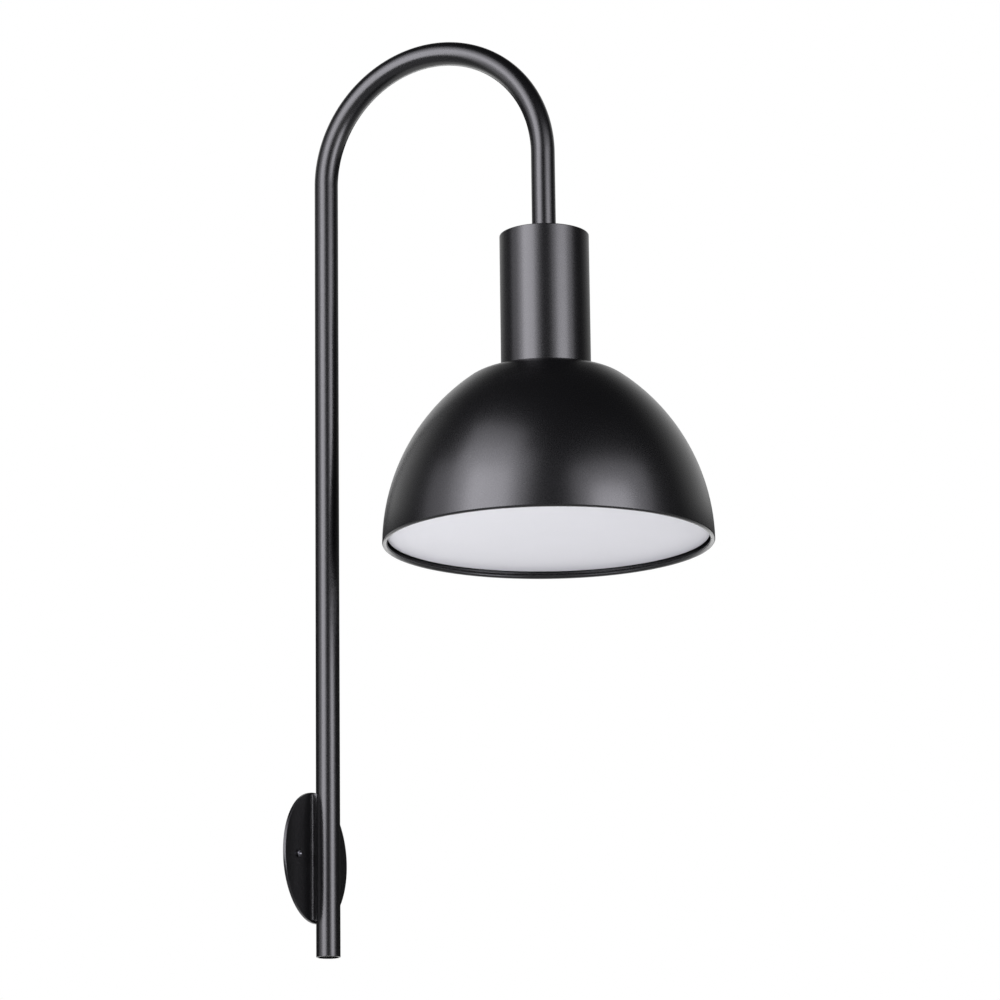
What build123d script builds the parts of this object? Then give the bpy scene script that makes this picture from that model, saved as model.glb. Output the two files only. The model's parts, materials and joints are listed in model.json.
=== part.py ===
"""Wall light: a bent tube on a round wall plate carries a cup and a round-topped shade with an opal disc.

Millimetres. The origin is the centre of the wall plate's back face, on the wall. +Z is up, the wall is the
plane Y = 0, and the light reaches out along -Y.
"""
from build123d import *
from math import atan2, cos, degrees, pi, radians, sin, sqrt
import os

# ---- wall plate and what fixes it ----
plate_d = 120.0
plate_t = 2.5
plate_edge = 0.4
plate_screw_pitch = 70.0
plate_screw_d = 4.0
plate_screw_hole_d = 4.5
plate_screw_head_d = 7.0
plate_screw_head_h = 2.4
plate_screw_tail = 10.0
saddle_w = 17.0
saddle_web = 0.8
saddle_end_gap = 1.0

# ---- crossbar on the wall box, behind the plate ----
crossbar_l = 102.0
crossbar_w = 18.0
crossbar_t = 1.5
crossbar_set_back = 2.5
crossbar_slot_pitch = 88.9
crossbar_slot_l = 9.0
crossbar_slot_w = 5.0
crossbar_eye_d = 13.0

# ---- tube: pole, arch and leg ----
tube_d = 22.0
tube_wall = 1.5
pole_below = 91.0
pole_above = 637.0
arch_r = 112.5
leg_l = 80.0
end_plug_l = 10.0
end_plug_recess = 6.0
leg_insert_l = 16.0

# ---- cup ----
cup_d = 82.0
cup_h = 130.0
cup_wall = 1.5
cup_edge = 0.8
cup_base_t = 3.0

# ---- shade ----
shade_d = 300.0
shade_h = 159.5
shade_wall = 1.2
shade_body_drop = 0.9
shade_shoulder_r = 42.0
shade_top_margin = 7.0
shade_hole_d = 46.0
lip_w = 4.4
shade_screw_ring_d = 64.0
shade_screw_count = 3
shade_screw_d = 4.0
shade_screw_grip = 4.0
shade_screw_head_d = 7.6
shade_screw_head_h = 2.6

# ---- opal disc, the ring bonded to it, and the hooks that hold it ----
disc_t = 3.0
disc_recess = 6.5
ring_w = 12.0
ring_t = 1.5
hook_count = 3
hook_angle = 14.0
hook_sheet = 1.5
hook_h = 16.0
hook_reach = 7.0
hook_lift = 5.0
stop_angle = 1.8
stop_h = 3.5
lug_angle = 10.0
lug_sheet = 1.5
lug_grip = 4.0

# ---- threaded hollow rods, nuts and washers ----
rod_d = 10.0
rod_bore_d = 7.2
rod_l = 24.0
rod_out = 3.0
nut_af = 14.0
nut_t = 4.0
washer_d = 18.0
washer_t = 1.0

# ---- lamp holder ----
holder_d = 40.0
holder_wall = 2.2
holder_collar_d = 18.0
holder_collar_h = 5.0
holder_cap_h = 28.0
holder_shoulder_h = 14.0
holder_skirt_h = 34.0
holder_spigot_h = 6.0
insert_t = 9.0
contact_t = 1.0
contact_d = 8.0
socket_bore_d = 27.0
socket_sheet = 0.6
socket_l = 23.0

# ---- lamp ----
lamp_cap_d = 26.4
lamp_thread_depth = 0.9
lamp_thread_pitch = 3.6
lamp_thread_turns = 5
lamp_cap_rim_h = 4.0
lamp_tip_h = 4.0
lamp_tip_d = 9.0
lamp_collar_h = 16.0
lamp_neck_d = 22.0
globe_d = 45.0
globe_wall = 1.0
globe_mouth_d = 38.0

# ---- supply cable, its cores and their terminals ----
cable_d = 6.0
cable_bend_r = 20.0
cable_tail = 2.5
cable_room = 1.0
core_d = 2.2
core_offset = 1.4
core_bend_r = 3.2
core_drop = 9.0
grommet_wall = 1.6
grommet_flange_w = 2.0
grommet_flange_t = 1.2
tube_slot_w = 9.0
tube_slot_l = 13.0
block_x = 21.0
block_length = 14.0
block_depth = 14.0
block_height = 17.0
block_way_pitch = 9.0
block_way_d = 3.2
block_way_depth = 7.0
block_clamp_pitch = 8.0
block_clamp_d = 2.6
block_screw_d = 3.0
block_screw_head_d = 4.4
block_screw_head_h = 1.8
earth_x = 22.0
earth_screw_d = 4.0
earth_screw_head_d = 8.0
earth_screw_head_h = 2.6
earth_ring_d = 9.0
earth_ring_t = 0.8
earth_barrel_d = 3.8
earth_barrel_l = 6.0

# ---- proportions of small pieces ----
head_round = 0.55
socket_width = 0.6
socket_depth = 0.6
tip_chamfer = 0.12
driver_slot_w = 0.2
driver_slot_depth = 0.33
way_depth = 0.55
collar_curve = 0.8

# ---- clearances ----
thread_gap = 0.02
push_gap = 0.05
pass_gap = 0.2
turn_gap = 0.4
rest_gap = 0.3

# ---- places that follow from the sizes ----
tube_r = tube_d / 2
bore_r = tube_r - tube_wall
plate_front = -plate_t
pole_y = plate_front - saddle_web - tube_r
shade_y = pole_y - 2 * arch_r
arch_top = pole_above + arch_r
cup_top = pole_above - leg_l
cup_bottom = cup_top - cup_h
cup_roof = cup_top - cup_wall
base_top = cup_bottom + cup_base_t
rim_z = cup_bottom - shade_h
bar_front = crossbar_set_back
bar_back = bar_front + crossbar_t
sheath_end = bar_back + cable_tail
grommet_bore_r = cable_d / 2 + cable_room
grommet_r = grommet_bore_r + grommet_wall
shade_axis = Axis((0, shade_y, 0), (0, 0, 1))


def save(builder, name):
    """Label a finished piece and write it to its own file."""
    builder.part.label = name
    export_step(builder.part, f"parts/{name}.step")


def wall_plane(y, z=0):
    """A sketch plane parallel to the wall that looks out into the room: x is +X, y is +Z."""
    return Plane(origin=(0, y, z), x_dir=(1, 0, 0), z_dir=(0, -1, 0))


def back_plane(y):
    """A sketch plane parallel to the wall that looks into the wall: x is -X, y is +Z."""
    return Plane(origin=(0, y, 0), x_dir=(-1, 0, 0), z_dir=(0, 1, 0))


def level(z):
    """A horizontal sketch plane centred on the shade's axis, looking up."""
    return Plane(origin=(0, shade_y, z), x_dir=(1, 0, 0), z_dir=(0, 0, 1))


def underside(z):
    """A horizontal sketch plane centred on the shade's axis, looking down."""
    return Plane(origin=(0, shade_y, z), x_dir=(1, 0, 0), z_dir=(0, 0, -1))


def head_section(z, angle=0):
    """An upright half-plane at the shade's axis, turned by angle: x is the radius, y the height above z."""
    turn = radians(angle)
    return Plane(origin=(0, shade_y, z), x_dir=(cos(turn), sin(turn), 0), z_dir=(sin(turn), -cos(turn), 0))


def cable_height(y):
    """Height of the cable's centre where its bend into the pole crosses the plane Y = y."""
    return cable_bend_r - sqrt(cable_bend_r**2 - (pole_y + cable_bend_r - y) ** 2)


def machine_screw(shank_d, shank_l, head_d, head_h):
    """A button-head screw with a hexagon socket, head up, its bearing face at height zero."""
    with BuildPart() as screw:
        with BuildSketch():
            Circle(head_d / 2)
        extrude(amount=head_h)
        fillet(screw.edges().group_by(Axis.Z)[-1], radius=head_h * head_round)
        with BuildSketch(Plane.XY.offset(head_h)):
            RegularPolygon(radius=shank_d / 2 * socket_width, side_count=6, major_radius=False)
        extrude(amount=-head_h * socket_depth, mode=Mode.SUBTRACT)
        with BuildSketch():
            Circle(shank_d / 2)
        extrude(amount=-shank_l)
        chamfer(screw.edges().group_by(Axis.Z)[0], length=shank_d * tip_chamfer)
    return screw.part


def hex_nut(across_flats, height, hole_d):
    """A nut standing on height zero."""
    with BuildPart() as nut:
        with BuildSketch():
            RegularPolygon(radius=across_flats / 2, side_count=6, major_radius=False)
            Circle(hole_d / 2, mode=Mode.SUBTRACT)
        extrude(amount=height)
    return nut.part


def round_ring(outer_d, hole_d, height):
    """A washer, a hollow rod or a bush standing on height zero."""
    with BuildPart() as ring:
        with BuildSketch():
            Circle(outer_d / 2)
            Circle(hole_d / 2, mode=Mode.SUBTRACT)
        extrude(amount=height)
    return ring.part


def tube_route(start_z, end_z):
    """Centre line of the bent tube, from a height on the pole, over the arch, to a height on the leg."""
    with BuildLine() as line:
        Line((0, pole_y, start_z), (0, pole_y, pole_above))
        ThreePointArc((0, pole_y, pole_above), (0, pole_y - arch_r, arch_top), (0, shade_y, pole_above))
        Line((0, shade_y, pole_above), (0, shade_y, end_z))
    return line.line


def cable_slot_cutter():
    """The upright slot that the cable takes through the saddle and the back of the pole."""
    with BuildPart() as cutter:
        with BuildSketch(wall_plane(plate_front, cable_height(pole_y + bore_r))):
            SlotOverall(tube_slot_l, tube_slot_w, rotation=90)
        extrude(amount=tube_r)
    return cutter.part


def swept_wire(points, radii, diameter):
    """A round wire along straight runs joined by arcs."""
    with BuildPart() as wire:
        with BuildLine() as route:
            FilletPolyline(*points, radius=radii)
        with BuildSketch(Plane(origin=route.line @ 0, z_dir=route.line % 0)):
            Circle(diameter / 2)
        sweep(path=route.line)
    return wire.part


os.makedirs("parts", exist_ok=True)

# ==== wall end ====

# the plate is a plain disc with two screw holes and a stepped hole for the cable
cable_hole_z = cable_height(-plate_t / 2)
with BuildPart() as wall_plate:
    with BuildSketch(wall_plane(0)):
        Circle(plate_d / 2)
    extrude(amount=plate_t)
    chamfer(wall_plate.edges().group_by(Axis.Y)[0], length=plate_edge)
    with BuildSketch(wall_plane(0)):
        with GridLocations(plate_screw_pitch, 0, 2, 1):
            Circle(plate_screw_hole_d / 2)
    extrude(amount=plate_t, mode=Mode.SUBTRACT)
    with BuildSketch(wall_plane(0, cable_hole_z)):
        Circle(grommet_r)
    extrude(amount=plate_t, mode=Mode.SUBTRACT)
    with BuildSketch(wall_plane(0, cable_hole_z)):
        Circle(grommet_r + grommet_flange_w)
    extrude(amount=grommet_flange_t, mode=Mode.SUBTRACT)
save(wall_plate, "wall_plate")

# the bush in the cable hole lies just inside both faces of the plate
with BuildPart() as cable_grommet:
    with BuildSketch(wall_plane(-push_gap, cable_hole_z)):
        Circle(grommet_r + grommet_flange_w - push_gap)
    extrude(amount=grommet_flange_t - 2 * push_gap)
    with BuildSketch(wall_plane(-push_gap, cable_hole_z)):
        Circle(grommet_r - push_gap)
    extrude(amount=plate_t - 2 * push_gap)
    with BuildSketch(wall_plane(0, cable_hole_z)):
        Circle(grommet_bore_r)
    extrude(amount=plate_t, mode=Mode.SUBTRACT)
save(cable_grommet, "cable_grommet")

# the saddle cradles the pole over the height of the plate, and its outline follows the plate's edge
saddle_h = 2 * sqrt((plate_d / 2 - plate_edge) ** 2 - (saddle_w / 2) ** 2) - 2 * saddle_end_gap
cable_cutter = cable_slot_cutter()
with BuildPart() as tube_saddle:
    with BuildSketch(Plane.XY.offset(-saddle_h / 2)):
        with Locations((0, plate_front)):
            Rectangle(saddle_w, tube_r, align=(Align.CENTER, Align.MAX))
        with Locations((0, pole_y)):
            Circle(tube_r, mode=Mode.SUBTRACT)
            Rectangle(tube_d, tube_r, align=(Align.CENTER, Align.MAX), mode=Mode.SUBTRACT)
    extrude(amount=saddle_h)
    add(cable_cutter, mode=Mode.SUBTRACT)
save(tube_saddle, "tube_saddle")

with BuildPart(wall_plane(plate_front)) as plate_screws:
    with GridLocations(plate_screw_pitch, 0, 2, 1):
        add(machine_screw(plate_screw_d, plate_t + plate_screw_tail, plate_screw_head_d, plate_screw_head_h))
save(plate_screws, "plate_screws")

# the crossbar: open slots for the wall box's screws, and tapped holes for the plate, earth and block screws
with BuildPart() as crossbar:
    with BuildSketch(wall_plane(bar_back)):
        SlotOverall(crossbar_l, crossbar_w)
        Circle(crossbar_eye_d / 2, mode=Mode.SUBTRACT)
        with GridLocations(crossbar_slot_pitch, 0, 2, 1):
            SlotOverall(crossbar_slot_l, crossbar_slot_w, mode=Mode.SUBTRACT)
        with GridLocations(plate_screw_pitch, 0, 2, 1):
            Circle(plate_screw_d / 2 + thread_gap, mode=Mode.SUBTRACT)
        with Locations((-earth_x, 0)):
            Circle(earth_screw_d / 2 + thread_gap, mode=Mode.SUBTRACT)
        with Locations((block_x, 0)):
            Circle(block_screw_d / 2 + thread_gap, mode=Mode.SUBTRACT)
    extrude(amount=crossbar_t)
save(crossbar, "crossbar")

# ==== supply terminals on the crossbar's back ====

block_back = bar_back + block_depth
way_y = bar_back + block_depth * way_depth
with BuildPart() as terminal_block:
    with BuildSketch(back_plane(bar_back)):
        with Locations((-block_x, 0)):
            RectangleRounded(block_length, block_height, radius=block_length / 10)
    extrude(amount=block_depth)
    with BuildSketch(Plane(origin=(block_x - block_length / 2, way_y, 0), x_dir=(0, 1, 0), z_dir=(1, 0, 0))):
        with GridLocations(0, block_way_pitch, 1, 2):
            Circle(block_way_d / 2)
    extrude(amount=block_length, mode=Mode.SUBTRACT)
    with BuildSketch(back_plane(block_back)):
        with Locations((-block_x, 0)):
            with GridLocations(block_clamp_pitch, block_way_pitch, 2, 2):
                Circle(block_clamp_d / 2 + push_gap)
            Circle(block_screw_head_d / 2 + pass_gap)
    extrude(amount=way_y - block_back, mode=Mode.SUBTRACT)
    with BuildSketch(back_plane(block_back)):
        with Locations((-block_x, 0)):
            Circle(block_screw_d / 2 + pass_gap)
    extrude(amount=-block_depth, mode=Mode.SUBTRACT)
save(terminal_block, "terminal_block")

with BuildPart(back_plane(block_back - 2 * push_gap)) as terminal_screws:
    with Locations((-block_x, 0)):
        with GridLocations(block_clamp_pitch, block_way_pitch, 2, 2):
            clamp_l = block_back - 2 * push_gap - way_y - core_d / 2
            Cylinder(block_clamp_d / 2, clamp_l, align=(Align.CENTER, Align.CENTER, Align.MAX))
            Box(block_clamp_d, block_clamp_d * driver_slot_w, block_clamp_d * driver_slot_depth,
                align=(Align.CENTER, Align.CENTER, Align.MAX), mode=Mode.SUBTRACT)
save(terminal_screws, "terminal_screws")

with BuildPart(back_plane(way_y)) as block_screw:
    with Locations((-block_x, 0)):
        add(machine_screw(block_screw_d, way_y - bar_front, block_screw_head_d, block_screw_head_h))
save(block_screw, "block_screw")

# the earth lug: a ring under the earth screw's washer, with a barrel for the core
barrel_y = bar_back + earth_barrel_d / 2
barrel_start = earth_ring_d / 2 + earth_ring_t
with BuildPart() as earth_terminal:
    with BuildSketch(back_plane(bar_back)):
        with Locations((earth_x, 0)):
            Circle(earth_ring_d / 2)
        with Locations((earth_x - (barrel_start + earth_barrel_l) / 2, 0)):
            Rectangle(barrel_start + earth_barrel_l, earth_barrel_d)
        with Locations((earth_x, 0)):
            Circle(earth_screw_d / 2 + pass_gap, mode=Mode.SUBTRACT)
    extrude(amount=earth_ring_t)
    with BuildSketch(Plane(origin=(-earth_x + barrel_start, barrel_y, 0), x_dir=(0, 1, 0), z_dir=(1, 0, 0))):
        Circle(earth_barrel_d / 2)
    extrude(amount=earth_barrel_l)
    with BuildSketch(Plane(origin=(-earth_x + barrel_start, barrel_y, 0), x_dir=(0, 1, 0), z_dir=(1, 0, 0))):
        Circle(core_d / 2 + thread_gap)
    extrude(amount=earth_barrel_l, mode=Mode.SUBTRACT)
save(earth_terminal, "earth_terminal")

with BuildPart(back_plane(bar_back + earth_ring_t)) as earth_washer:
    with Locations((earth_x, 0)):
        add(round_ring(earth_ring_d, earth_screw_d + 2 * pass_gap, earth_ring_t))
save(earth_washer, "earth_washer")

bar_grip = crossbar_t + 2 * earth_ring_t
with BuildPart(back_plane(bar_front + bar_grip)) as earth_screw:
    with Locations((earth_x, 0)):
        add(machine_screw(earth_screw_d, bar_grip, earth_screw_head_d, earth_screw_head_h))
save(earth_screw, "earth_screw")

# ==== tube ====

with BuildPart() as arm_tube:
    with BuildSketch(Plane(origin=(0, pole_y, -pole_below), z_dir=(0, 0, 1))):
        Circle(tube_r)
        Circle(bore_r, mode=Mode.SUBTRACT)
    sweep(path=tube_route(-pole_below, cup_top))
    add(cable_cutter, mode=Mode.SUBTRACT)
save(arm_tube, "arm_tube")

# a push-in plug closes the pole's lower end, set back inside it
plug_face = end_plug_recess - pole_below
with BuildPart() as pole_end_plug:
    with BuildSketch(Plane(origin=(0, pole_y, plug_face), z_dir=(0, 0, 1))):
        Circle(bore_r - push_gap)
    extrude(amount=end_plug_l)
    with BuildSketch(Plane(origin=(0, pole_y, plug_face + end_plug_l), z_dir=(0, 0, 1))):
        Circle(bore_r - 2 * tube_wall)
    extrude(amount=-end_plug_l + tube_wall, mode=Mode.SUBTRACT)
save(pole_end_plug, "pole_end_plug")

# a tapped plug fills the leg's lower end and takes the hollow rod that carries the cup
with BuildPart(level(cup_top)) as leg_insert:
    add(round_ring(2 * (bore_r - push_gap), rod_d + 2 * thread_gap, leg_insert_l))
save(leg_insert, "leg_insert")

# ==== cup ====

with BuildPart() as cup:
    with BuildSketch(level(cup_bottom)):
        Circle(cup_d / 2)
    extrude(amount=cup_h)
    fillet(cup.edges().group_by(Axis.Z)[-1], radius=cup_edge)
    with BuildSketch(level(cup_bottom)):
        Circle(cup_d / 2 - cup_wall)
    extrude(amount=cup_h - cup_wall, mode=Mode.SUBTRACT)
    with BuildSketch(level(cup_top)):
        Circle(rod_d / 2 + pass_gap)
    extrude(amount=-cup_wall, mode=Mode.SUBTRACT)
save(cup, "cup")

top_nut_z = cup_roof - washer_t - nut_t
with BuildPart(level(top_nut_z - rod_out)) as top_rod:
    add(round_ring(rod_d, rod_bore_d, rod_l))
save(top_rod, "top_rod")

with BuildPart(level(cup_roof - washer_t)) as top_washer:
    add(round_ring(washer_d, rod_d + 2 * pass_gap, washer_t))
save(top_washer, "top_washer")

with BuildPart(level(top_nut_z)) as top_nut:
    add(hex_nut(nut_af, nut_t, rod_d + 2 * thread_gap))
save(top_nut, "top_nut")

# the base disc is welded into the cup's lower end; the shade and the lamp holder hang from it
with BuildPart() as cup_base:
    with BuildSketch(level(cup_bottom)):
        Circle(cup_d / 2 - cup_wall - push_gap)
        Circle(rod_d / 2 + pass_gap, mode=Mode.SUBTRACT)
        with PolarLocations(shade_screw_ring_d / 2, shade_screw_count):
            Circle(shade_screw_d / 2 + thread_gap, mode=Mode.SUBTRACT)
    extrude(amount=cup_base_t)
save(cup_base, "cup_base")

# ==== shade ====

# section of the shade: a flat top just wider than the cup, a shoulder arc, and a long body arc tangent to it
shoulder_centre = (cup_d / 2 + shade_top_margin, shade_h - shade_shoulder_r)
shoulder_rise = shoulder_centre[1] + shade_body_drop
flare = shade_d / 2 - shoulder_centre[0] - shade_shoulder_r
shade_body_r = shade_shoulder_r + (flare**2 + shoulder_rise**2) / (2 * flare)
body_centre = (shade_d / 2 - shade_body_r, -shade_body_drop)
blend_angle = degrees(atan2(shoulder_rise, shoulder_centre[0] - body_centre[0]))


def on_body(inset, angle):
    """Point of the body arc, moved in from the outer face by inset."""
    reach = shade_body_r - inset
    return (body_centre[0] + reach * cos(radians(angle)), body_centre[1] + reach * sin(radians(angle)))


def on_shoulder(inset, angle):
    """Point of the shoulder arc, moved in from the outer face by inset."""
    reach = shade_shoulder_r - inset
    return (shoulder_centre[0] + reach * cos(radians(angle)),
            shoulder_centre[1] + reach * sin(radians(angle)))


def body_angle(inset, height):
    """Angle on the body arc at a height above the rim."""
    return degrees(atan2(height - body_centre[1],
                         sqrt((shade_body_r - inset) ** 2 - (height - body_centre[1]) ** 2)))


lip_r = lip_w / 2
start_out = body_angle(0, lip_r)
start_in = body_angle(shade_wall, lip_r)
mid_turn = (blend_angle + 90) / 2
with BuildPart() as shade:
    with BuildSketch(head_section(rim_z)):
        with BuildLine():
            ThreePointArc(on_body(0, start_out), on_body(0, (start_out + blend_angle) / 2),
                          on_body(0, blend_angle))
            ThreePointArc(on_body(0, blend_angle), on_shoulder(0, mid_turn), on_shoulder(0, 90))
            Line(on_shoulder(0, 90), (shade_hole_d / 2, shade_h))
            Line((shade_hole_d / 2, shade_h), (shade_hole_d / 2, shade_h - shade_wall))
            Line((shade_hole_d / 2, shade_h - shade_wall), on_shoulder(shade_wall, 90))
            ThreePointArc(on_shoulder(shade_wall, 90), on_shoulder(shade_wall, mid_turn),
                          on_body(shade_wall, blend_angle))
            ThreePointArc(on_body(shade_wall, blend_angle),
                          on_body(shade_wall, (start_in + blend_angle) / 2), on_body(shade_wall, start_in))
            Line(on_body(shade_wall, start_in), on_body(0, start_out))
        make_face()
        with Locations((on_body(0, start_out)[0] - lip_r, lip_r)):
            Circle(lip_r)
    revolve(axis=shade_axis)
    with BuildSketch(level(cup_bottom)):
        with PolarLocations(shade_screw_ring_d / 2, shade_screw_count):
            Circle(shade_screw_d / 2 + pass_gap)
    extrude(amount=-shade_wall, mode=Mode.SUBTRACT)
save(shade, "shade")

with BuildPart(underside(cup_bottom - shade_wall)) as shade_screws:
    with PolarLocations(shade_screw_ring_d / 2, shade_screw_count):
        add(machine_screw(shade_screw_d, shade_screw_grip, shade_screw_head_d, shade_screw_head_h))
save(shade_screws, "shade_screws")

# ==== opal disc and its turning lock ====

lip_inner_r = on_body(0, start_out)[0] - lip_w
disc_r = lip_inner_r - turn_gap
disc_top = disc_recess + disc_t
ring_top = disc_top + ring_t
ledge_z = ring_top + hook_lift
hook_step = 360 / hook_count
ledge_top = ledge_z + hook_sheet
wall_at_ledge = on_body(shade_wall, body_angle(shade_wall, ledge_top))[0]
ledge_inner_r = wall_at_ledge - hook_reach
post_outer_r = ledge_inner_r - turn_gap
toe_outer_r = ledge_inner_r + lug_grip
toe_z = ledge_top + rest_gap

with BuildPart() as diffuser:
    with BuildSketch(level(rim_z + disc_recess)):
        Circle(disc_r)
    extrude(amount=disc_t)
    fillet(diffuser.edges().group_by(Axis.Z)[0], radius=disc_t / 5)
save(diffuser, "diffuser")

# the ring on the disc's hidden face carries lugs: a post up past the ledge, and a toe that turns over it
with BuildPart() as diffuser_ring:
    with BuildSketch(level(rim_z + disc_top)):
        Circle(disc_r)
        Circle(disc_r - ring_w, mode=Mode.SUBTRACT)
    extrude(amount=ring_t)
    for k in range(hook_count):
        with BuildSketch(head_section(rim_z, hook_step * k - lug_angle / 2)):
            with BuildLine():
                Polyline((post_outer_r - lug_sheet, ring_top), (post_outer_r, ring_top),
                         (post_outer_r, toe_z),
                         (toe_outer_r, toe_z), (toe_outer_r, toe_z + lug_sheet),
                         (post_outer_r - lug_sheet, toe_z + lug_sheet), close=True)
            make_face()
        revolve(axis=shade_axis, revolution_arc=lug_angle)
save(diffuser_ring, "diffuser_ring")

# hooks spot-welded inside the shade: a web that follows the wall, a ledge, and a stop at the ledge's end
hook_outer_r = shade_body_r - shade_wall - push_gap


def hook_section(angle, inner_r, bottom, top):
    """Section of a hook between two heights, from a radius out to the shade's wall."""
    with BuildSketch(head_section(rim_z, angle)) as face:
        with Locations(body_centre):
            Circle(hook_outer_r)
        with Locations((inner_r, bottom)):
            Rectangle(shade_d / 2, top - bottom, align=(Align.MIN, Align.MIN), mode=Mode.INTERSECT)
    return face.sketch


with BuildPart() as diffuser_hooks:
    for k in range(hook_count):
        hook_start = hook_step * k - hook_angle / 2
        with BuildSketch(head_section(rim_z, hook_start)):
            with Locations(body_centre):
                Circle(hook_outer_r)
                Circle(hook_outer_r - hook_sheet, mode=Mode.SUBTRACT)
            with Locations((shade_d / 4, ledge_z)):
                Rectangle(shade_d / 2, hook_h, align=(Align.MIN, Align.MIN), mode=Mode.INTERSECT)
        revolve(axis=shade_axis, revolution_arc=hook_angle)
        add(hook_section(hook_start, ledge_inner_r, ledge_z, ledge_top))
        revolve(axis=shade_axis, revolution_arc=hook_angle)
        add(hook_section(hook_start + hook_angle - stop_angle, ledge_inner_r, ledge_z, ledge_top + stop_h))
        revolve(axis=shade_axis, revolution_arc=stop_angle)
save(diffuser_hooks, "diffuser_hooks")

# ==== lamp holder ====

# a hollow rod through the cup's base carries the holder, locked by a nut above
with BuildPart(level(base_top + washer_t + nut_t + rod_out - rod_l)) as holder_rod:
    add(round_ring(rod_d, rod_bore_d, rod_l))
save(holder_rod, "holder_rod")

with BuildPart(level(base_top)) as holder_washer:
    add(round_ring(washer_d, rod_d + 2 * pass_gap, washer_t))
save(holder_washer, "holder_washer")

with BuildPart(level(base_top + washer_t)) as holder_nut:
    add(hex_nut(nut_af, nut_t, rod_d + 2 * thread_gap))
save(holder_nut, "holder_nut")

# the holder's cap: a tapped collar, a cone and a short skirt, hollow below the collar
cap_bottom = cup_bottom - holder_cap_h
holder_r = holder_d / 2
collar_r = holder_collar_d / 2
cone_bottom = holder_cap_h - holder_shoulder_h
with BuildPart() as holder_cap:
    with BuildSketch(head_section(cap_bottom)):
        with BuildLine():
            Polyline((rod_d / 2 + thread_gap, holder_cap_h), (collar_r, holder_cap_h),
                     (collar_r, holder_cap_h - holder_collar_h), (holder_r, cone_bottom), (holder_r, 0),
                     (holder_r - holder_wall, 0), (holder_r - holder_wall, cone_bottom - holder_wall / 2),
                     (collar_r - holder_wall / 2, holder_cap_h - 2 * holder_collar_h),
                     (rod_d / 2 + thread_gap, holder_cap_h - 2 * holder_collar_h), close=True)
        make_face()
    revolve(axis=shade_axis)
save(holder_cap, "holder_cap")

# the holder's skirt hangs from the cap by a spigot, and its lower part shields the lamp's cap
skirt_bottom = cap_bottom - holder_skirt_h
spigot_r = holder_r - holder_wall - push_gap
insert_r = spigot_r - holder_wall
with BuildPart() as holder_skirt:
    with BuildSketch(level(skirt_bottom)):
        Circle(holder_r)
    extrude(amount=holder_skirt_h)
    with BuildSketch(level(cap_bottom)):
        Circle(spigot_r)
    extrude(amount=holder_spigot_h)
    with BuildSketch(level(skirt_bottom)):
        Circle(insert_r)
    extrude(amount=holder_skirt_h + holder_spigot_h, mode=Mode.SUBTRACT)
    fillet(holder_skirt.edges().group_by(Axis.Z)[0].sort_by(SortBy.LENGTH)[-1], radius=holder_wall / 3)
save(holder_skirt, "holder_skirt")

insert_top = cap_bottom + holder_spigot_h
insert_bottom = insert_top - insert_t
with BuildPart(level(insert_bottom)) as holder_insert:
    Cylinder(insert_r - push_gap, insert_t, align=(Align.CENTER, Align.CENTER, Align.MIN))
save(holder_insert, "holder_insert")

contact_z = insert_bottom - contact_t
with BuildPart(level(contact_z)) as holder_contact:
    Cylinder(contact_d / 2, contact_t, align=(Align.CENTER, Align.CENTER, Align.MIN))
save(holder_contact, "holder_contact")

# the screw shell has a flange under the insert
with BuildPart() as holder_shell:
    with BuildSketch(level(insert_bottom - socket_l)):
        Circle(socket_bore_d / 2 + socket_sheet)
        Circle(socket_bore_d / 2, mode=Mode.SUBTRACT)
    extrude(amount=socket_l)
    with BuildSketch(level(insert_bottom - socket_sheet)):
        Circle(insert_r - push_gap)
        Circle(socket_bore_d / 2, mode=Mode.SUBTRACT)
    extrude(amount=socket_sheet)
save(holder_shell, "holder_shell")

# ==== lamp ====

tip_z = contact_z
thread_top = tip_z - lamp_tip_h
thread_h = lamp_thread_turns * lamp_thread_pitch
thread_bottom = thread_top - thread_h
cap_rim_z = thread_bottom - lamp_cap_rim_h
root_r = lamp_cap_d / 2 - lamp_thread_depth
with BuildPart() as bulb_cap:
    with BuildSketch(head_section(cap_rim_z)):
        with BuildLine():
            rim_to_thread = lamp_cap_rim_h
            Line((0, 0), (root_r, 0))
            Line((root_r, 0), (root_r, rim_to_thread))
            for k in range(lamp_thread_turns):
                foot = rim_to_thread + k * lamp_thread_pitch
                ThreePointArc((root_r, foot), (lamp_cap_d / 2, foot + lamp_thread_pitch / 2),
                              (root_r, foot + lamp_thread_pitch))
            cap_roof = rim_to_thread + thread_h
            Polyline((root_r, cap_roof), (lamp_tip_d / 2, cap_roof + lamp_tip_h / 2),
                     (lamp_tip_d / 2, cap_roof + lamp_tip_h), (0, cap_roof + lamp_tip_h), (0, 0))
        make_face()
    revolve(axis=shade_axis)
save(bulb_cap, "bulb_cap")

collar_bottom = cap_rim_z - lamp_collar_h
mouth_r = globe_mouth_d / 2
with BuildPart() as bulb_collar:
    with BuildSketch(head_section(collar_bottom)):
        with BuildLine():
            Line((0, 0), (mouth_r, 0))
            Spline((mouth_r, 0), (lamp_neck_d / 2, lamp_collar_h * collar_curve), tangents=((0, 1), (0, 1)))
            Polyline((lamp_neck_d / 2, lamp_collar_h * collar_curve), (lamp_neck_d / 2, lamp_collar_h),
                     (0, lamp_collar_h), (0, 0))
        make_face()
    revolve(axis=shade_axis)
save(bulb_collar, "bulb_collar")

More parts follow.
